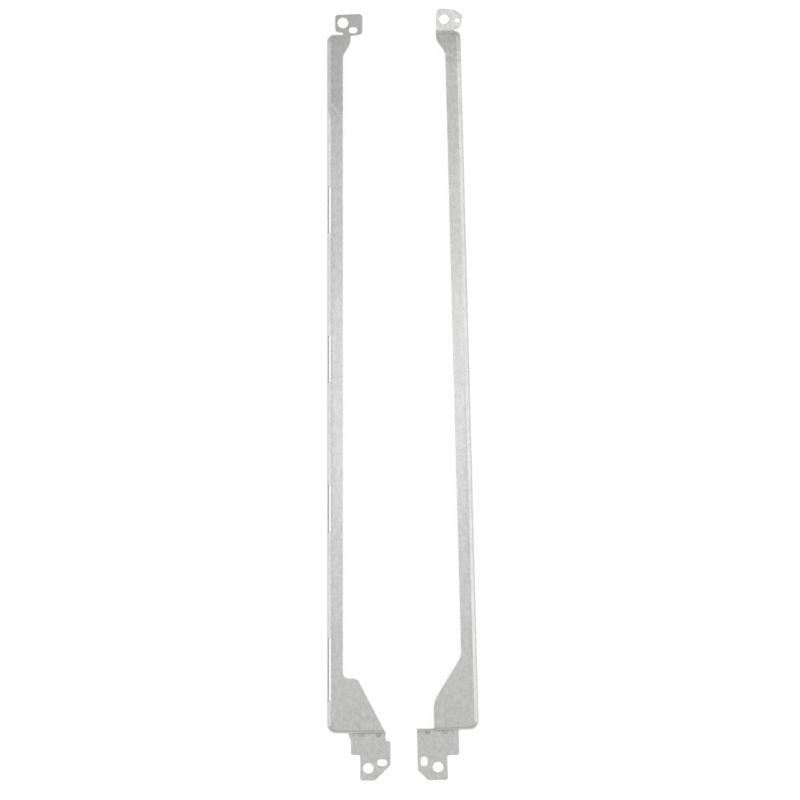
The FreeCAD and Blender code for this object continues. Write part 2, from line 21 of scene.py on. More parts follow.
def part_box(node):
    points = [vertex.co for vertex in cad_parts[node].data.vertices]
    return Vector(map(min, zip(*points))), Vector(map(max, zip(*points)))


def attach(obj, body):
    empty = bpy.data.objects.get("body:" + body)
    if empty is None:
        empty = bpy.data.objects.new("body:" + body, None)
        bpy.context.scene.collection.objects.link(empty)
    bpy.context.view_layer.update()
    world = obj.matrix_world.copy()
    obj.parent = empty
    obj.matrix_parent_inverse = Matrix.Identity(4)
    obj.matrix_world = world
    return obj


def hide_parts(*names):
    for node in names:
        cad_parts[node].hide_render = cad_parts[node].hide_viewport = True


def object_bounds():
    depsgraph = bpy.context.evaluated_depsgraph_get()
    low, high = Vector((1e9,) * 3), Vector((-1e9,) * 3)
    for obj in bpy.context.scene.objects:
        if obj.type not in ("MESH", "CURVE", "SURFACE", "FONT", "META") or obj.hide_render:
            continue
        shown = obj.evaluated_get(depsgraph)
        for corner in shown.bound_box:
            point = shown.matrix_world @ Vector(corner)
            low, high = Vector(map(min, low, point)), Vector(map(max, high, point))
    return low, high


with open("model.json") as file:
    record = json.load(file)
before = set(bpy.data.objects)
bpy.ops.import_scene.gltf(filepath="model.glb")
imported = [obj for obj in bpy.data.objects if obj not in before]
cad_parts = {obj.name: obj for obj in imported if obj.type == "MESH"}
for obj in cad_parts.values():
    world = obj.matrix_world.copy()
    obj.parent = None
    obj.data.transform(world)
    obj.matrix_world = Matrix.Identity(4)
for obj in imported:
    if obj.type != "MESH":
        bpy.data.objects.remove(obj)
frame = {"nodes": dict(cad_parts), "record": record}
cad_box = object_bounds()
MM = 0.001
cad_size = (cad_box[1] - cad_box[0]) / MM
print("nodes:", sorted(frame["nodes"]), "size in mm:", [round(side, 1) for side in cad_size])

# %% [markdown]
# ## The sheet and its folds
#
# Everything is measured in millimetres in the bracket's own frame: x runs inward from the flange's outer
# face, y from the foot wall to the head. A fold is described by its outer face alone. A point that lies a
# distance q beyond the rim of the web goes round the upper bend, then down the wall. On a step it also
# goes round a lower bend that turns the other way, and out along the screw tab. Where the long flange was
# folded, the press drew the web over a few degrees before the bend begins. That lead-in is what shows as
# a dull line beside the bright bend.

# %% Sizes of the sheet
mount_sizes = {mount["name"]: mount["dims"] for mount in frame["record"]["mounts"]}
SHEET = mount_sizes["left_head_screw"]["length_mm"]
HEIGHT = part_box("left_bracket")[1].z / MM
INNER_BEND = 0.8
OUTER_BEND = INNER_BEND + SHEET
RAIL = 202.9
RAIL_WIDTH = 4.6
FOOT_CORNER = 2.5

UPPER_ARC = OUTER_BEND * np.pi / 2
STEP_WALL = HEIGHT - 2 * OUTER_BEND
LOWER_ARC = INNER_BEND * np.pi / 2
WALL_END = UPPER_ARC + STEP_WALL
TAB_START = WALL_END + LOWER_ARC
FLANGE_REACH = 5.6
WALL_STRETCH = (HEIGHT - OUTER_BEND) / (FLANGE_REACH - UPPER_ARC)
SLIT = 0.2
LEAD = 0.9
print(f"sheet {SHEET} mm, a tab starts {TAB_START:.2f} mm beyond the rim of the web")

# %% [markdown]
# ## Darts
#
# Two small darts are pressed into the lower bend of each foot step, to keep the tab from folding further.
# A dart pulls the sheet from the rounded corner out to a straight chord between wall and tab. It could be
# a separate wedge, but then its back would be full. Here it moves the sheet itself, so the hollow behind
# it comes by itself.

# %% Sizes of a dart
DART_PLACES = (9.7, 14.8)
DART_LEG = 1.5
DART_HALF = 0.95
DART_SIDE = 0.5
DART_FADE = 0.12
DART_TOP = UPPER_ARC + HEIGHT - OUTER_BEND - SHEET - DART_LEG
DART_END = TAB_START + DART_LEG - INNER_BEND


def eased(share):
    """A share from 0 to 1 with a soft start and end: three times its square less twice its cube."""
    share = np.clip(share, 0, 1)
    return share * share * (3 - 2 * share)


def dart_pull(x, q, depth):
    """Where a dart's chord lies at q, as outward distance and height, and how far the sheet is pulled
    to it. The chord is a straight line from the wall, one leg up, to the tab, one leg out. The pull is
    full on the middle of the dart and eases to nothing at its sides and ends."""
    along = np.clip((q - DART_TOP) / (DART_END - DART_TOP), 0, 1)
    out = OUTER_BEND + DART_LEG * along - depth / np.sqrt(2)
    height = SHEET + DART_LEG * (1 - along) - depth / np.sqrt(2)
    across = sum(eased((DART_HALF - np.abs(x - place)) / DART_SIDE) for place in DART_PLACES)
    pull = across * eased(np.minimum(along, 1 - along) / DART_FADE)
    return out, height, pull


print("darts at", DART_PLACES, "mm from the flange")

# %% [markdown]
# ## Folding by formula
#
# A sheet could be bent by a chain of deform modifiers, each with its own limits and its own errors. One
# formula for the whole sheet is shorter and exact. It takes flat points with a depth below the outer
# face, as one array, and gives back their folded places. Depth matters because the inside of a bend is
# shorter than its outside.


# %% The fold
def section(x, q, depth, lean, on_step, at_foot, wing, tilt):
    """Outward distance and height of points at q along the outer face.
    Just before the upper bend the web eases into a lean, and sinks by the sum of that lean. The bend
    is an arc of the outer radius, and a point lies its depth behind it, against the way the face
    looks. The wall drops straight. On a step the lower bend is an arc of the inner radius, plus the
    depth, a tilt further round than a right angle, and the tab runs on from its end. A wing, by its
    share, lies in the tab's plane from the start."""
    nearing = np.clip(1 + q / LEAD, 0, 1)
    bend = np.clip(q / OUTER_BEND, 0, np.pi / 2)
    level = 1 - bend / (np.pi / 2)
    facing = bend + lean * eased(nearing) * level
    sunk = lean * LEAD * nearing**3 * (1 - nearing / 2) * level
    out = np.minimum(q, 0) + OUTER_BEND * np.sin(bend) - depth * np.sin(facing)
    height = HEIGHT - OUTER_BEND * (1 - np.cos(bend)) - sunk - depth * np.cos(facing)
    drop = np.maximum(q - UPPER_ARC, 0)
    flange_height = height - drop * WALL_STRETCH

    turn = np.pi / 2 + tilt
    lower = turn * np.clip((q - WALL_END) / LOWER_ARC, 0, 1)
    lower += wing * (turn - lower)
    run = np.maximum(q - TAB_START, 0) + wing * np.minimum(q - TAB_START, 0)
    radius = INNER_BEND + depth
    step_out = out + radius * (1 - np.cos(lower)) + run * np.sin(turn)
    step_height = height - np.minimum(drop, STEP_WALL) - radius * np.sin(lower) - run * np.cos(turn)

    chord_out, chord_height, pull = dart_pull(x, q, depth)
    pull = np.where(at_foot, pull, 0)
    step_out += pull * (chord_out - step_out)
    step_height += pull * (chord_height - step_height)
    return np.where(on_step, step_out, out), np.where(on_step, step_height, flange_height)


def fold(blank, flat):
    """Folded places of flat points (x, y, depth), in the bracket's own frame.
    The rim of the web is a straight line with a rounded corner at either end. The distance to it is
    that of a rounded rectangle: how far the point lies outside the corner's centre, less the corner's
    radius. Inside the centre it is the distance to the nearer side. On a step only the end counts, so
    the side is taken to be a rail's length away."""
    x, y, depth = flat.T
    at_foot = y < RAIL / 2
    corner = np.where(at_foot, FOOT_CORNER, blank.head_corner)
    step_start = np.where(at_foot, blank.foot_step, blank.head_step)
    beyond_end = np.where(at_foot, -y, y - RAIL) + OUTER_BEND
    on_step = (x > step_start - SLIT / 2) | (beyond_end > (FLANGE_REACH + TAB_START) / 2)
    sideways = np.where(on_step, -RAIL, corner - x)
    lengthways = beyond_end + corner - OUTER_BEND
    reach = np.hypot(np.maximum(sideways, 0), np.maximum(lengthways, 0))
    nearer = np.maximum(sideways, lengthways)
    q = np.maximum(reach + np.minimum(nearer, 0) - corner + OUTER_BEND, -LEAD)
    divisor = np.maximum(reach, SLIT)
    aside = np.where(nearer < 0, sideways == nearer, np.maximum(sideways, 0) / divisor)
    endwards = np.where(nearer < 0, lengthways == nearer, np.maximum(lengthways, 0) / divisor)
    outward_x, outward_y = -aside, np.where(at_foot, -1, 1) * endwards
    wing = np.where(at_foot | (q < WALL_END), 0, eased((x - blank.wing) / SLIT))
    tilt = np.where(at_foot, 0, blank.head_tilt)
    out, height = section(x, q, depth, blank.lean * aside, on_step, at_foot, wing, tilt)
    return np.column_stack([x + outward_x * (out - q), y + outward_y * (out - q), height])


tab_out, tab_height = section(0, TAB_START, 0, lean=0, on_step=True, at_foot=False, wing=0, tilt=0)
print(f"a tab starts {tab_out - OUTER_BEND:.2f} mm beyond the wall, {tab_height:.2f} mm above the table")

# %% [markdown]
# ## Outlines of the blanks
#
# A blank is the bracket before it is folded. Its outline is a short list of corners with a radius each,
# and the round stretches are worked out as arcs. The flange opens out flat too, as a wide border with
# large round corners. Where the flange meets a step, a narrow relief slit keeps the sheet from tearing in
# the press.

# %% Outline helpers
ARC_STEP = np.radians(6)
RUN_PARTS = 30
FINEST_RUN, COARSEST_RUN = 0.2, 1.2
CIRCLE_POINTS = 48
NEARLY_HALF = 0.4999
SAME_POINT = 1e-5


def loop(corners):
    """Closed outline through corners (x, y, radius), counter-clockwise, as an array of points.
    A corner that turns by an angle starts its arc radius * tan(angle / 2) before the corner. Runs
    between arcs are divided more finely where they are short."""
    corners = np.array([(*corner, 0)[:3] for corner in corners], float)
    points, radii = corners[:, :2], corners[:, 2]
    ahead = np.roll(points, -1, axis=0) - points
    ahead /= np.linalg.norm(ahead, axis=1)[:, None]
    behind = np.roll(ahead, 1, axis=0)
    turn = np.arctan2(behind[:, 0] * ahead[:, 1] - behind[:, 1] * ahead[:, 0], (behind * ahead).sum(axis=1))
    starts = points - behind * (radii * np.tan(np.abs(turn) / 2))[:, None]
    arcs = []
    for start, along, radius, angle in zip(starts, behind, radii, turn):
        side = np.array([-along[1], along[0]]) * np.sign(angle)
        steps = int(np.ceil(np.abs(angle) / ARC_STEP)) if radius else 0
        swept = np.linspace(0, np.abs(angle), steps + 1)[:, None]
        arcs.append(start + radius * (np.sin(swept) * along + (1 - np.cos(swept)) * side))
    pieces = []
    for arc, following in zip(arcs, arcs[1:] + arcs[:1]):
        gap = np.linalg.norm(following[0] - arc[-1])
        parts = max(1, int(np.ceil(gap / np.clip(gap / RUN_PARTS, FINEST_RUN, COARSEST_RUN))))
        run = np.linspace(arc[-1], following[0], parts + 1)[1:-1]
        pieces += [arc, run]
    outline = np.vstack(pieces)
    return outline[np.linalg.norm(outline - np.roll(outline, 1, axis=0), axis=1) > SAME_POINT]


def box_loop(x, y, length, width, radius):
    """A rectangle about a point with rounded corners."""
    sides = [(-1, -1), (1, -1), (1, 1), (-1, 1)]
    return loop([(x + sign_x * length / 2, y + sign_y * width / 2, radius) for sign_x, sign_y in sides])


def slot_loop(x, y, length, width):
    """A slot about a point: a rectangle whose corners are rounded by all but half of its narrower side."""
    return box_loop(x, y, length, width, NEARLY_HALF * min(length, width))


def round_loop(x, y, radius, stretch=1.0):
    """A circle about a point, its x shortened by a stretch that the fold takes back."""
    angle = np.linspace(0, 2 * np.pi, CIRCLE_POINTS, endpoint=False)
    return np.column_stack([x + radius / stretch * np.cos(angle), y + radius * np.sin(angle)])


def foot(reach):
    """Flat y of a point on a foot tab, by its reach from where the tab begins."""
    return OUTER_BEND - TAB_START - reach


def head(reach):
    """Flat y of a point on a head tab, by its reach from where the tab begins."""
    return RAIL - OUTER_BEND + TAB_START + reach


FLANGE_EDGE = OUTER_BEND - FLANGE_REACH
FLANGE_HEAD = RAIL - FLANGE_EDGE
FOOT_WALL_TOP = OUTER_BEND - UPPER_ARC
FOOT_SLIT = OUTER_BEND - WALL_END
HEAD_SLIT = RAIL - FOOT_SLIT
print(f"the flange's free edge opens out to {FLANGE_EDGE:.2f} mm")

# %% [markdown]
# The two blanks differ in their tabs and gussets, so each has a list of its own. What they share, such as
# the round border of the flange and the slits at its ends, comes from three small functions.

# %% Corners that both blanks share
PLAIN_CORNER, CUT_CORNER, NOTCH = 0.8, 1.1, 0.4
PAD_DEPTH, PAD_TAPER = 2.5, 3.75
PAD_CORNER, PAD_ROOT = 2.4, 3.0


def flange_to_foot_step(step):
    """From the flange's round foot corner along its free edge, and up and down the slit beside the
    foot step."""
    return [
        (FLANGE_EDGE, FLANGE_EDGE, FOOT_CORNER - FLANGE_EDGE),
        (step - SLIT, FLANGE_EDGE, NOTCH),
        (step - SLIT, FOOT_SLIT, SLIT / 2),
        (step, FOOT_SLIT, SLIT / 2),
    ]


def head_step_to_flange(step, corner):
    """Down and up the slit beside the head step, to the flange's round head corner."""
    return [
        (step, HEAD_SLIT, SLIT / 2),
        (step - SLIT, HEAD_SLIT, SLIT / 2),
        (step - SLIT, FLANGE_HEAD),
        (FLANGE_EDGE, FLANGE_HEAD, corner - FLANGE_EDGE),
    ]


def rail_to_pad(width):
    """Up the rail's inner edge and out along the taper to the wide pad at the head."""
    return [
        (RAIL_WIDTH, RAIL - PAD_DEPTH - PAD_TAPER, PAD_ROOT),
        (width, RAIL - PAD_DEPTH, PAD_CORNER),
    ]


print(f"the rail widens to its pad over {PAD_TAPER} mm")

# %% The left blank
left = SimpleNamespace(
    foot_step=6.1,
    step_end=16.95,
    ear_edge=6.8,
    ear_slant=1.7,
    ear_reach=5.85,
    foot_edge=9.55,
    foot_width=18.4,
    foot_reach=13.3,
    foot_cut=4.55,
    foot_hole=(2.35, 3.55),
    foot_slot=(-2.45, 5.2),
    shoulder=1.5,
    shoulder_slant=0.6,
    gusset_foot=17.1,
    gusset_top=8.75,
    gusset_height=16.0,
    gusset_corner=2.2,
    gusset_root=1.7,
    pad=6.8,
    head_step=4.55,
    head_corner=2.0,
    head_tilt=0.0,
    head_edge=2.25,
    head_width=10.2,
    head_reach=5.35,
    head_rise=0.35,
    head_gap=0.3,
    head_hole=(2.25, 2.3),
    head_slot=(-2.7, 4.45),
    wing_setback=0.7,
    wing_rise=0.5,
    wing_slit=0.45,
    lean=np.radians(2.5),
)
left.wing = left.pad
gusset_slope = (left.gusset_foot - left.gusset_top) / left.gusset_height
left.outline = loop(
    flange_to_foot_step(left.foot_step)
    + [
        (left.foot_step, foot(0)),
        (left.ear_edge, foot(left.ear_slant)),
        (left.ear_edge, foot(left.ear_reach), PLAIN_CORNER),
        (left.foot_edge, foot(left.ear_reach), NOTCH),
        (left.foot_edge, foot(left.foot_reach), PLAIN_CORNER),
        (left.foot_width - left.foot_cut, foot(left.foot_reach), CUT_CORNER),
        (left.foot_width, foot(left.foot_reach - left.foot_cut), CUT_CORNER),
        (left.foot_width, foot(left.shoulder + left.shoulder_slant), NOTCH),
        (left.step_end, foot(left.shoulder)),
        (left.step_end, FOOT_WALL_TOP),
        (left.gusset_foot - gusset_slope * OUTER_BEND, OUTER_BEND),
        (left.gusset_top, left.gusset_height, left.gusset_corner),
        (RAIL_WIDTH, left.gusset_height, left.gusset_root),
    ]
    + rail_to_pad(left.pad)
    + [
        (left.pad, head(-left.wing_slit), SLIT / 2),
        (left.pad + SLIT, head(-left.wing_slit), SLIT / 2),
        (left.pad + SLIT, head(-left.wing_setback)),
        (left.head_width, head(left.wing_rise - left.wing_setback), CUT_CORNER),
        (left.head_width, head(left.head_reach + left.head_rise), CUT_CORNER),
        (left.head_edge, head(left.head_reach), PLAIN_CORNER),
        (left.head_edge, head(left.head_gap), CUT_CORNER),
        (left.head_step, head(left.head_gap), NOTCH),
    ]
    + head_step_to_flange(left.head_step, left.head_corner)
)
print("left outline:", len(left.outline), "points")

# %% The right blank
right = SimpleNamespace(
    foot_step=5.8,
    step_end=18.0,
    ear_reach=6.85,
    foot_edge=9.3,
    foot_reach=14.0,
    foot_cut=3.0,
    foot_hole=(2.8, 3.75),
    foot_slot=(-1.9, 5.5),
    gusset_width=13.0,
    gusset_end=8.3,
    gusset_start=21.4,
    gusset_corner=8.0,
    gusset_root=6.0,
    pad=7.1,
    head_step=1.8,
    head_corner=1.6,
    head_tilt=np.radians(3.5),
    head_reach=6.25,
    head_lean=0.35,
    head_far_corner=1.4,
    head_hole=(-2.5, 3.2),
    cut_edge=1.7,
    cut_reach=5.75,
    overhang=0.77,
    wing=np.inf,
    wing_reach=4.2,
    wing_start=0.1,
    wing_slant=0.55,
    wing_corner=2.0,
    peg_hole=(1.52, 1.55),
    lean=np.radians(6),
)
right.outline = loop(
    flange_to_foot_step(right.foot_step)
    + [
        (right.foot_step, foot(right.ear_reach), PLAIN_CORNER),
        (right.foot_edge, foot(right.ear_reach), NOTCH),
        (right.foot_edge, foot(right.foot_reach), PLAIN_CORNER),
        (right.step_end - right.foot_cut, foot(right.foot_reach), CUT_CORNER),
        (right.step_end, foot(right.foot_reach - right.foot_cut), CUT_CORNER),
        (right.step_end, FOOT_WALL_TOP, NOTCH),
        (right.gusset_width, FOOT_WALL_TOP, NOTCH),
        (right.gusset_width, right.gusset_end, right.gusset_corner),
        (RAIL_WIDTH, right.gusset_start, right.gusset_root),
    ]
    + rail_to_pad(right.pad)
    + [
        (right.pad, head(0)),
        (right.pad - right.head_lean, head(right.head_reach), right.head_far_corner),
        (right.cut_edge, head(right.cut_reach), CUT_CORNER),
        (-right.overhang, head(right.wing_reach), PLAIN_CORNER),
        (right.wing_slant - right.overhang, head(right.wing_start), right.wing_corner),
        (right.head_step, head(0)),
    ]
    + head_step_to_flange(right.head_step, right.head_corner)
)
print("right outline:", len(right.outline), "points")

# %% [markdown]
# ## Holes
#
# Each tab has a round screw hole and a slot or a small hole for a locating peg. The long flange has two
# holes for the screws that hold the panel. Only the left rail has windows punched through its long bend.
# All of them are cut in the flat blank, as in the press, and they fold with it. A blank gives each hole of
# a tab by how far it is set in from the tab's side and from its end.

# %% Windows and panel screws
panel_screws = mount_sizes["left_panel_screws"]
PANEL_SCREW_START, PANEL_SCREW_HEIGHT = 40.2, 2.2
WINDOW_START, WINDOW_PITCH, WINDOW_LENGTH, UPPER_WINDOWS = 58.5, 43.4, 13.5, 3
FOOT_WINDOW_START, FOOT_WINDOW_LENGTH = 9.5, 18.1
WINDOW_WIDTH, WINDOW_CORNER = 1.05, 0.2
panel_screw_x = FLANGE_EDGE + PANEL_SCREW_HEIGHT / WALL_STRETCH
panel_holes = [
    round_loop(panel_screw_x, PANEL_SCREW_START + along, panel_screws["hole_r_mm"], WALL_STRETCH)
    for along in (0, panel_screws["spacing_x_mm"])
]
window_arc = UPPER_ARC - 2 * OUTER_BEND * np.arcsin(1 - WINDOW_WIDTH / OUTER_BEND)
window_spans = [(WINDOW_START + WINDOW_PITCH * step, WINDOW_LENGTH) for step in range(UPPER_WINDOWS)]
window_spans.append((FOOT_WINDOW_START, FOOT_WINDOW_LENGTH))
windows = [
    box_loop((FOOT_WALL_TOP + OUTER_BEND) / 2, start + length / 2, window_arc, length, WINDOW_CORNER)
    for start, length in window_spans
]
print(len(windows), "windows,", len(panel_holes), "panel screws a bracket")

# %% Holes of the tabs
FOOT_SLOT, HEAD_SLOT, PEG_RADIUS = (2.9, 2.0), (2.5, 1.8), 0.75
bores = {name: sizes.get("r_mm") for name, sizes in mount_sizes.items()}


def set_in(flat_y, side, end, inset):
    """Flat place of a hole: the first inset added to its tab's side, the second taken from the tab's end."""
    return side + inset[0], flat_y(end - inset[1])


left.holes = panel_holes + windows + [
    round_loop(*set_in(foot, left.foot_edge, left.foot_reach, left.foot_hole), bores["left_foot_screw"]),
    slot_loop(*set_in(foot, left.foot_width, left.foot_reach, left.foot_slot), *FOOT_SLOT),
    round_loop(*set_in(head, left.head_edge, left.head_reach, left.head_hole), bores["left_head_screw"]),
    slot_loop(*set_in(head, left.head_width, left.head_reach, left.head_slot), *HEAD_SLOT),
]
right.holes = panel_holes + [
    round_loop(*set_in(foot, right.foot_edge, right.foot_reach, right.foot_hole), bores["right_foot_screw"]),
    slot_loop(*set_in(foot, right.step_end, right.foot_reach, right.foot_slot), *FOOT_SLOT[::-1]),
    round_loop(*set_in(head, right.pad, right.head_reach, right.head_hole), bores["right_head_screw"]),
    round_loop(*set_in(head, -right.overhang, right.wing_reach, right.peg_hole), PEG_RADIUS),
]
print("holes:", len(left.holes), "left,", len(right.holes), "right")

# %% [markdown]
# ## A sheared edge
#
# A punch pulls the sheet's surface over before it cuts, so the upper edge of every outline and hole is
# rolled round, and the lower edge is nearly sharp. That roll is what shows as a fine darker line along
# the edges. It could be a bevel modifier, but a bevel can't tell which side the punch came from. Here the
# edge is a profile carried along each outline: a quarter arc, a straight land and a tiny lower arc.

# %% The edge's profile
ROLL, BURR = 0.12, 0.03
ROLL_ROWS, BURR_ROWS = 5, 3
roll_angle = np.linspace(0, np.pi / 2, ROLL_ROWS)
burr_angle = np.linspace(0, np.pi / 2, BURR_ROWS)
edge_inset = np.concatenate([ROLL * (1 - np.sin(roll_angle)), BURR * (1 - np.cos(burr_angle))])
edge_depth = np.concatenate([ROLL * (1 - np.cos(roll_angle)), SHEET - BURR * (1 - np.sin(burr_angle))])
edge_out = np.concatenate([np.sin(roll_angle), np.cos(burr_angle)])
edge_down = np.concatenate([-np.cos(roll_angle), np.sin(burr_angle)])
EDGE_ROWS = len(edge_inset)
print("edge profile:", EDGE_ROWS, "rows over", SHEET, "mm")


def outward(outline):
    """Outward directions at an outline's points, long enough that an offset keeps its width round a corner.
    Each is the sum of the normals of the two runs that meet, over one plus their scalar product."""
    runs = np.roll(outline, -1, axis=0) - outline
    runs /= np.linalg.norm(runs, axis=1)[:, None]
    normals = np.column_stack([runs[:, 1], -runs[:, 0]])
    before = np.roll(normals, 1, axis=0)
    return (normals + before) / (1 + (normals * before).sum(axis=1))[:, None]


# %% [markdown]
# ## Skins over the folds
#
# Between its edges the sheet has two skins. A flat web needs few triangles and a bend needs rows of them,
# so rows of points are laid along every fold and across the darts, and a constrained triangulation joins
# them to the outlines. A grid over the whole sheet would have to be cut along every outline instead.

# %% Rows of points along the folds
UPPER_ROWS, LOWER_ROWS, COLUMN = 14, 9, 0.9
END_COLUMN, DART_GRID = 0.5, 0.12
CLEARANCE = 0.1


def lattice(first, second):
    """Every pair of two lists of numbers, as points."""
    return np.stack(np.meshgrid(first, second), axis=-1).reshape(-1, 2)


def fan(centre, radius, q, start):
    """Rows round a corner: the points of a quarter ring at q beyond the corner's radius."""
    reach = radius - OUTER_BEND + q
    angle, reach = lattice(np.arange(start, start + np.pi / 2, ARC_STEP), reach[reach > CLEARANCE]).T
    return np.column_stack([centre[0] + reach * np.cos(angle), centre[1] + reach * np.sin(angle)])


def fold_rows(blank):
    """Rows along the long bend, round its corners, across both steps, and a fine grid over each dart."""
    upper = np.linspace(-LEAD, UPPER_ARC, UPPER_ROWS)
    lower = np.linspace(WALL_END, TAB_START, LOWER_ROWS)
    ends = np.concatenate([upper, lower])
    across = np.arange(0, blank.step_end, END_COLUMN)
    foot_across, head_across = across[across > FOOT_CORNER], across[across > blank.head_corner]
    rows = [
        lattice(OUTER_BEND - upper, np.arange(FOOT_CORNER, RAIL - blank.head_corner, COLUMN)),
        fan((FOOT_CORNER, FOOT_CORNER), FOOT_CORNER, upper, np.pi),
        fan((blank.head_corner, RAIL - blank.head_corner), blank.head_corner, upper, np.pi / 2),
        lattice(head_across, RAIL - OUTER_BEND + ends),
    ]
    plain = lattice(foot_across, OUTER_BEND - ends)
    from_dart = np.min([np.abs(plain[:, 0] - place) for place in DART_PLACES], axis=0)
    rows.append(plain[(from_dart > DART_HALF + DART_GRID) | (plain[:, 1] > OUTER_BEND - DART_TOP)])
    for place in DART_PLACES:
        columns = np.arange(place - DART_HALF, place + DART_HALF, DART_GRID)
        rows.append(lattice(columns, OUTER_BEND - np.arange(DART_TOP + DART_GRID, DART_END, DART_GRID)))
    return np.vstack(rows)


print("points along the folds:", len(fold_rows(left)), "left,", len(fold_rows(right)), "right")

# %% Triangles between the outlines
INSIDE_WITH_HOLES = 2
TRIANGLE_TOLERANCE = 1e-6


def well_inside(points, loops):
    """Those points that lie inside the outline, outside its holes and clear of both by a small distance.
    A point is inside if a line from it crosses the loops an odd number of times."""
    starts = np.vstack(loops)
    ends = np.vstack([np.roll(each, -1, axis=0) for each in loops])
    run = ends - starts
    offset = points[:, None] - starts
    along = np.clip((offset * run).sum(axis=2) / (run * run).sum(axis=1), 0, 1)
    clear = np.linalg.norm(offset - along[..., None] * run, axis=2).min(axis=1) > CLEARANCE
    above = points[:, None, 1] < starts[:, 1]
    spans = above != (points[:, None, 1] < ends[:, 1])
    rise = np.where(run[:, 1] == 0, 1, run[:, 1])
    crossing = starts[:, 0] + offset[..., 1] / rise * run[:, 0]
    inside = (spans & (crossing > points[:, None, 0])).sum(axis=1) % 2 == 1
    return points[inside & clear]


def triangulate(loops, inner):
    """Triangles, counter-clockwise, between the loops and over the inner points."""
    points = np.vstack([*loops, inner])
    borders, first = [], 0
    for each in loops:
        borders.append(list(range(first, first + len(each))))
        first += len(each)
    corners = [Vector(point) for point in points]
    found = delaunay_2d_cdt(corners, [], borders, INSIDE_WITH_HOLES, TRIANGLE_TOLERANCE)
    original = np.array([origin[0] for origin in found[3]])
    triangles = original[np.array(found[2])]
    a, b, c = (points[triangles[:, corner]] for corner in range(3))
    area = ((b - a)[:, 0] * (c - a)[:, 1] - (b - a)[:, 1] * (c - a)[:, 0]) / 2
    triangles[area < 0] = triangles[area < 0][:, ::-1]
    return triangles, np.abs(area).sum()


peg_triangles, peg_area = triangulate([round_loop(0, 0, PEG_RADIUS)], np.empty((0, 2)))
print(f"a peg hole would be filled by {len(peg_triangles)} triangles of {peg_area:.2f} square mm in all")

# %% [markdown]
# ## From blank to bracket
#
# Both skins and the edges between them are one closed mesh in the flat sheet. Then every vertex is folded
# at once. Its normal is found by folding a point a hair's breadth further out: where the sheet only
# bends, that step shows exactly which way the surface faces. The flat place of each vertex stays with it
# as an attribute, so that the rolling grain of the steel can follow the sheet round its bends.


# %% The flat meshes
def with_third(rows, values):
    """Rows of points in the plane with a third coordinate added, the same all along each row."""
    third = np.broadcast_to(values[:, None, None], (*rows.shape[:2], 1))
    return np.concatenate([rows, third], axis=2)


def blank_mesh(blank):
    """Flat vertices (x, y, depth), their flat normals, their share of the cut edge, and the faces of
    the sheet."""
    loops = [blank.outline] + [hole[::-1] for hole in blank.holes]
    ways = np.vstack([outward(each) for each in loops])
    rims = np.vstack(loops)
    inset_loops = [each - ROLL * outward(each) for each in loops]
    inner = well_inside(fold_rows(blank), inset_loops)
    triangles, area = triangulate(inset_loops, inner)
    count, inner_count = len(rims), len(inner)

    edge_places = rims - edge_inset[:, None, None] * ways
    edge_points = with_third(edge_places, edge_depth)
    unit = ways / np.linalg.norm(ways, axis=1)[:, None]
    edge_normals = with_third(edge_out[:, None, None] * unit, edge_down)
    cut = np.repeat(np.where((edge_inset > 0) & (edge_down != 0), 0, 1.0) * edge_depth / SHEET, count)
    skins = [np.insert(inner, 2, depth, axis=1) for depth in (0, SHEET)]
    flat = np.vstack([edge_points.reshape(-1, 3)] + skins)
    ways_up = [np.tile((0, 0, way), (inner_count, 1)) for way in (-1.0, 1.0)]
    normals = np.vstack([edge_normals.reshape(-1, 3)] + ways_up)

    top = np.where(triangles < count, triangles, triangles + (EDGE_ROWS - 1) * count)
    last_row = triangles + (EDGE_ROWS - 1) * count
    bottom = np.where(triangles < count, last_row, last_row + inner_count)[:, ::-1]
    following, first = np.arange(1, count + 1), 0
    for each in loops:
        following[first + len(each) - 1] = first
        first += len(each)
    this, rows = np.arange(count), np.arange(EDGE_ROWS - 1)[:, None] * count
    edges = np.stack([this + rows, this + rows + count, following + rows + count, following + rows], axis=-1)
    faces = top.tolist() + bottom.tolist() + edges.reshape(-1, 4).tolist()
    cut = np.concatenate([cut, np.zeros(2 * inner_count)])
    return SimpleNamespace(flat=flat, normals=normals, cut=cut, faces=faces, area=area)


blanks = {"left": left, "right": right}
for hand, blank in blanks.items():
    blank.sheet = blank_mesh(blank)
    print(f"{hand} blank: {len(blank.sheet.faces)} faces, {blank.sheet.area:.0f} square mm")

# %% Folded and in place
HAIR = 0.002
left_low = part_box("left_bracket")[0] / MM
LEFT_BASE = (left_low.x, left_low.y + INNER_BEND + left.foot_reach)
PAIR_SPACING, PAIR_STAGGER, RIGHT_YAW = 44.05, 1.2, np.radians(1.52)


def placed(local, hand):
    """From the bracket's own frame to the row's, in metres. The right one is mirrored, turned and moved."""
    x, y, z = local.T
    if hand == "left":
        return np.column_stack([x + LEFT_BASE[0], y + LEFT_BASE[1], z]) * MM
    cos, sin = np.cos(RIGHT_YAW), np.sin(RIGHT_YAW)
    across = LEFT_BASE[0] + PAIR_SPACING - x * cos - y * sin
    along = LEFT_BASE[1] + PAIR_STAGGER - x * sin + y * cos
    return np.column_stack([across, along, z]) * MM


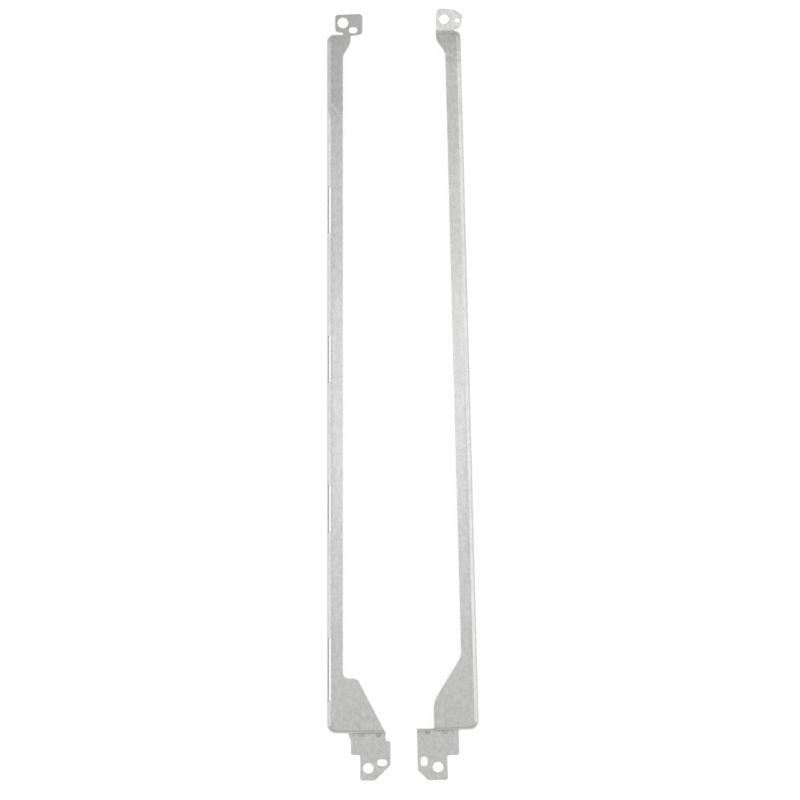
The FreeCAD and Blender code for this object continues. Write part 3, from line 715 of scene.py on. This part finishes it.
def bracket(hand, blank):
    """One folded bracket as a mesh object that stands for its solid."""
    flat, faces = blank.sheet.flat, blank.sheet.faces
    vertices = placed(fold(blank, flat), hand)
    ahead = placed(fold(blank, flat + HAIR * blank.sheet.normals), hand) - vertices
    ahead /= np.linalg.norm(ahead, axis=1)[:, None]
    if hand == "right":
        faces = [face[::-1] for face in faces]
    mesh = bpy.data.meshes.new(f"folded_{hand}_bracket")
    mesh.from_pydata(vertices.tolist(), [], faces)
    mesh.shade_smooth()
    mesh.normals_split_custom_set_from_vertices(ahead.tolist())
    mesh.attributes.new("flat_sheet", "FLOAT_VECTOR", "POINT").data.foreach_set("vector", flat.ravel())
    mesh.attributes.new("cut_edge", "FLOAT", "POINT").data.foreach_set("value", blank.sheet.cut)
    piece = bpy.data.objects.new(mesh.name, mesh)
    bpy.context.scene.collection.objects.link(piece)
    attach(piece, "root")
    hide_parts(f"{hand}_bracket")
    print(f"{piece.name}: {len(vertices)} vertices, {len(faces)} faces")
    return piece


brackets = {hand: bracket(hand, blank) for hand, blank in blanks.items()}

# %% [markdown]
# ## Does it fit?
#
# The folded sheet stands for a packed solid, so it has to lie on it. A search tree over the solid's
# triangles gives the distance from any vertex. The darts, the rolled edges, the slits and the tighter
# corner at the right head differ on purpose, by a few tenths.

# %% Distance to the solids
for hand, piece in brackets.items():
    solid = frame["nodes"][f"{hand}_bracket"].data
    tree = BVHTree.FromPolygons([v.co for v in solid.vertices], [p.vertices for p in solid.polygons])
    gaps = np.array([tree.find_nearest(vertex.co)[3] for vertex in piece.data.vertices]) / MM
    most = np.quantile(gaps, 0.99)
    print(f"{hand}: mean {gaps.mean():.3f} mm, 99 in 100 within {most:.3f}, largest {gaps.max():.2f}")

# %% [markdown]
# ## Maths in a material
#
# A material is a net of nodes. Written out link by link, a short formula takes a page, so one small class
# wraps a socket and turns sums on it into Math nodes. Every other node comes from one method, which sets
# the node's own settings first and then its sockets.


# %% Wires
class Wire:
    """An output socket of a material's node tree. Arithmetic on wires adds Math nodes."""

    def __init__(self, tree, socket=None):
        self.tree = tree
        self.socket = socket

    def add(self, kind, settings=None, inputs=None, output=0):
        """A new node, given its settings and then a value or a link for each input."""
        node = self.tree.nodes.new(kind)
        for name, value in (settings or {}).items():
            setattr(node, name, value)
        for name, value in (inputs or {}).items():
            if isinstance(value, Wire):
                self.tree.links.new(value.socket, node.inputs[name])
            else:
                node.inputs[name].default_value = value
        return Wire(self.tree, node.outputs[output] if node.outputs else None)

    def math(self, operation, *values):
        """A Math node on wires and numbers."""
        return self.add("ShaderNodeMath", {"operation": operation}, dict(enumerate(values)))

    def __add__(self, other):
        return self.math("ADD", self, other)

    def __sub__(self, other):
        return self.math("SUBTRACT", self, other)

    def __rsub__(self, other):
        return self.math("SUBTRACT", other, self)

    def __mul__(self, other):
        return self.math("MULTIPLY", self, other)

    __radd__ = __add__
    __rmul__ = __mul__

    def ramp(self, low, high):
        """0 at low, 1 at high, eased between them. Low may be the larger."""
        limits = {"Value": self, "From Min": low, "From Max": high}
        return self.add("ShaderNodeMapRange", {"interpolation_type": "SMOOTHSTEP"}, limits)


def new_tree(owner):
    """The owner's empty node tree, as the start of its wires."""
    owner.use_nodes = True
    owner.node_tree.nodes.clear()
    return Wire(owner.node_tree)


print("a wire has:", [name.strip("_") for name, value in vars(Wire).items() if callable(value)])

# %% [markdown]
# ## Plated steel
#
# The sheet is cold-rolled steel under a thin satin zinc plate. From a step away it is a plain light grey.
# Closer, it has a faint cloudiness, short streaks along the rolling direction, and a fine grain that
# breaks up its reflections. Towards the heads the plate is tarnished a shade darker, with a blotchy
# border: on the left bracket as far as the end of its tab, on the right one only on the rail. The right
# one's head tab is painted lighter, a painted highlight that stands in for the lamp catching it. The
# sheared edges are bright where the punch burnished them and dull where the steel broke. An image could
# be painted for this, but noise read in the flat sheet has no resolution to run out of, and its streaks
# turn with the bends.

# %% The plate's finish
STEEL_LIGHT = (0.668, 0.666, 0.657, 1)
STEEL_DARK = (0.562, 0.560, 0.553, 1)
DARK_BELOW, LIGHT_ABOVE = 0.38, 0.62
# The second shade lightens the right head tab's colour: a painted highlight.
STAIN_SHADE, PAINTED_HIGHLIGHT_SHADE = 0.83, 1.12
STAIN_BORDER, PAINTED_HIGHLIGHT_BORDER, BLOTCHES = 1.0, 0.5, 28.0
BROKEN_EDGE = (0.40, 0.40, 0.39, 1)
BREAK_START, BREAK_FULL = 0.42, 0.5


def plated_steel(hand, stain_start, stain_end):
    """The finish of one bracket: tarnished from one place along its sheet to another, and painted lighter
    beyond that, a painted highlight."""
    material = bpy.data.materials.new(f"plated_steel_{hand}")
    tree = new_tree(material)
    flat = tree.add("ShaderNodeAttribute", {"attribute_name": "flat_sheet"}, output="Vector")
    cut = tree.add("ShaderNodeAttribute", {"attribute_name": "cut_edge"}, output="Fac")
    along = tree.add("ShaderNodeSeparateXYZ", inputs={0: flat}, output="Y")

    def noise(scale, stretch, detail, roughness=0.5):
        """Noise with features of 1 / scale mm, drawn out along the rail by a stretch."""
        across_and_along = {"Vector": flat, "Scale": (scale, scale / stretch, scale)}
        squeezed = tree.add("ShaderNodeMapping", inputs=across_and_along)
        settings = {"Vector": squeezed, "Scale": 1.0, "Detail": detail, "Roughness": roughness}
        return tree.add("ShaderNodeTexNoise", inputs=settings)

    def laid_over(share, under, over, blend="MIX"):
        """One colour laid over another by a share, plainly or multiplied with it."""
        settings = {"data_type": "RGBA", "blend_type": blend}
        return tree.add("ShaderNodeMix", settings, {0: share, 6: under, 7: over}, output=2)

    cloud = noise(0.06, 1.5, 2)
    mottle = noise(0.8, 1.4, 3, 0.6)
    streak = noise(1.6, 14, 2)
    grain = noise(2.6, 1.4, 2)
    speck = noise(0.7, 1.2, 2)

    shade = 0.52 * mottle + 0.18 * streak + 0.18 * cloud + 0.12 * grain
    light = shade.ramp(DARK_BELOW, LIGHT_ABOVE)
    steel = laid_over(light, STEEL_DARK, STEEL_LIGHT)
    blotchy = along + BLOTCHES * (speck - 0.5)
    # Painted highlight: beyond where the tarnish ends, the colour is made lighter, standing in for lamp
    # light on the right head tab.
    painted_highlight = along.ramp(stain_end, stain_end + PAINTED_HIGHLIGHT_BORDER)
    stained = blotchy.ramp(stain_start - STAIN_BORDER, stain_start + STAIN_BORDER) * (1 - painted_highlight)
    for place, level in ((stained, STAIN_SHADE), (painted_highlight, PAINTED_HIGHLIGHT_SHADE)):
        steel = laid_over(place, steel, (level, level, level, 1), "MULTIPLY")
    broken = cut.ramp(BREAK_START, BREAK_FULL) * (0.5 + 0.5 * grain)
    colour = laid_over(broken, steel, BROKEN_EDGE)

    roughness = 0.25 + 0.04 * mottle + 0.01 * grain + 0.04 * stained + 0.22 * broken
    relief = 0.6 * grain + 0.4 * streak + 2.0 * broken
    bump = {"Height": relief, "Strength": 0.08, "Distance": 0.00003}
    normal = tree.add("ShaderNodeBump", inputs=bump)
    finish = {"Base Color": colour, "Roughness": roughness, "Metallic": 1.0, "Normal": normal}
    shader = tree.add("ShaderNodeBsdfPrincipled", inputs=finish)
    tree.add("ShaderNodeOutputMaterial", inputs={"Surface": shader})
    return material


# Where a tarnish ends, the painted highlight begins; on the left bracket that place lies past the end of its
# sheet.
STAINS = {"left": (181.0, head(7)), "right": (195.0, head(-1))}
for hand, piece in brackets.items():
    piece.data.materials.append(plated_steel(hand, *STAINS[hand]))
print("finishes:", [piece.data.materials[0].name for piece in brackets.values()])

# %% [markdown]
# ## The table
#
# The brackets lie on a plain white table. A white that depended on strong lamps would burn out the steel,
# so most of the table is shown as white to the camera and in reflections, and a share of plain paint
# keeps the soft shadow. That share is darker than white, so the white part is set a little over 1, and
# the two add up to white.

# %% Floor
FLOOR_HALF = 4.0
FLOOR_DROP = 0.00002
SHOWN_WHITE = 0.86
TABLE_WHITE = 1.06
TABLE_PAINT = (0.9, 0.9, 0.9, 1)
WHITE = (1, 1, 1, 1)


def table_top(half, cells=8):
    """A level square grid: x and y from minus half to half."""
    steps = np.linspace(-half, half, cells + 1)
    points = np.insert(lattice(steps, steps), 2, -FLOOR_DROP, axis=1)
    corner = (np.arange(cells) + (cells + 1) * np.arange(cells)[:, None]).reshape(-1, 1)
    return points, corner + np.array([0, 1, cells + 2, cells + 1])


points, cells = table_top(FLOOR_HALF)
floor_mesh = bpy.data.meshes.new("table_top")
floor_mesh.from_pydata(points.tolist(), [], cells.tolist())
floor = bpy.data.objects.new("table_top", floor_mesh)
bpy.context.scene.collection.objects.link(floor)

paint = bpy.data.materials.new("white_table")
tree = new_tree(paint)
KINDS_OF_RAY = ("Camera", "Glossy", "Transmission")
rays = [tree.add("ShaderNodeLightPath", output=f"Is {kind} Ray") for kind in KINDS_OF_RAY]
seen = rays[0].math("MAXIMUM", rays[0], rays[1].math("MAXIMUM", rays[1], rays[2]))
plain = tree.add("ShaderNodeBsdfDiffuse", inputs={"Color": TABLE_PAINT})
white = tree.add("ShaderNodeEmission", inputs={"Color": WHITE, "Strength": TABLE_WHITE})
mixed = tree.add("ShaderNodeMixShader", inputs={0: SHOWN_WHITE * seen, 1: plain, 2: white})
tree.add("ShaderNodeOutputMaterial", inputs={"Surface": mixed})
floor_mesh.materials.append(paint)
print("floor:", len(cells), "cells")

# %% [markdown]
# ## Light
#
# In the photograph the rails are brightest at mid length and duller towards both ends: a lamp hangs above
# the middle, a little to the right, and the steel mirrors it softly. The long bends catch light from a
# lamp low at either side. The bends that face the head or the foot stay dark, so the lamps at the two
# ends are weak. A sky texture or a ring of many lamps would light it as well, but few lamps are easier to
# place. A grey room fills the rest.

# %% Lamps and room
ROOM = 0.68


def lamp(name, place, size, power):
    """A soft box of a width and length at a place, turned to face the middle of the pair."""
    light = bpy.data.lights.new(name, "AREA")
    light.shape = "RECTANGLE"
    light.size, light.size_y = size
    light.energy = power
    box = bpy.data.objects.new(name, light)
    box.location = place
    box.rotation_euler = (-Vector(place)).to_track_quat("-Z", "Y").to_euler()
    box.visible_camera = False
    bpy.context.scene.collection.objects.link(box)
    return box


lamps = [
    lamp("lamp_above", (0.062, 0.02, 1.0), (0.10, 0.46), 0.233),
    lamp("lamp_right", (0.82, 0, 0.5), (0.55, 1.6), 1.95),
    lamp("lamp_left", (-0.82, 0, 0.5), (0.55, 1.6), 1.65),
    lamp("lamp_head", (0, 0.75, 0.6), (1.6, 1.0), 0.4),
    lamp("lamp_foot", (0.03, -0.38, 0.95), (0.5, 0.2), 0.09),
]

world = bpy.data.worlds.new("studio")
bpy.context.scene.world = world
tree = new_tree(world)
room = tree.add("ShaderNodeBackground", inputs={"Color": WHITE, "Strength": ROOM})
tree.add("ShaderNodeOutputWorld", inputs={"Surface": room})
print("lamps:", [each.name for each in lamps])

# %% [markdown]
# ## Camera
#
# The photograph looks straight down, and hardly any of the flanges' walls shows, so the camera is set
# well back behind a long lens. A camera without perspective would do too, but then the tabs, which lie
# lower, would be drawn as large as the rails. The middle of the picture is a little off the middle of the
# pair.

# %% Camera over the table
VIEW_MIDDLE = (-0.842, -1.512)
VIEW_WIDTH = 232.0
VIEW_DISTANCE = 900.0
SENSOR = 36.0
CLIP_START = 0.01

camera = bpy.data.objects.new("camera", bpy.data.cameras.new("camera"))
camera.data.sensor_width = SENSOR
camera.data.lens = SENSOR * VIEW_DISTANCE / VIEW_WIDTH
camera.data.clip_start = CLIP_START
camera.location = Vector((*VIEW_MIDDLE, HEIGHT + VIEW_DISTANCE)) * MM
bpy.context.scene.collection.objects.link(camera)
bpy.context.scene.camera = camera
bpy.context.scene.view_settings.view_transform = "Standard"
print(f"lens {camera.data.lens:.1f} mm")

# %% [markdown]
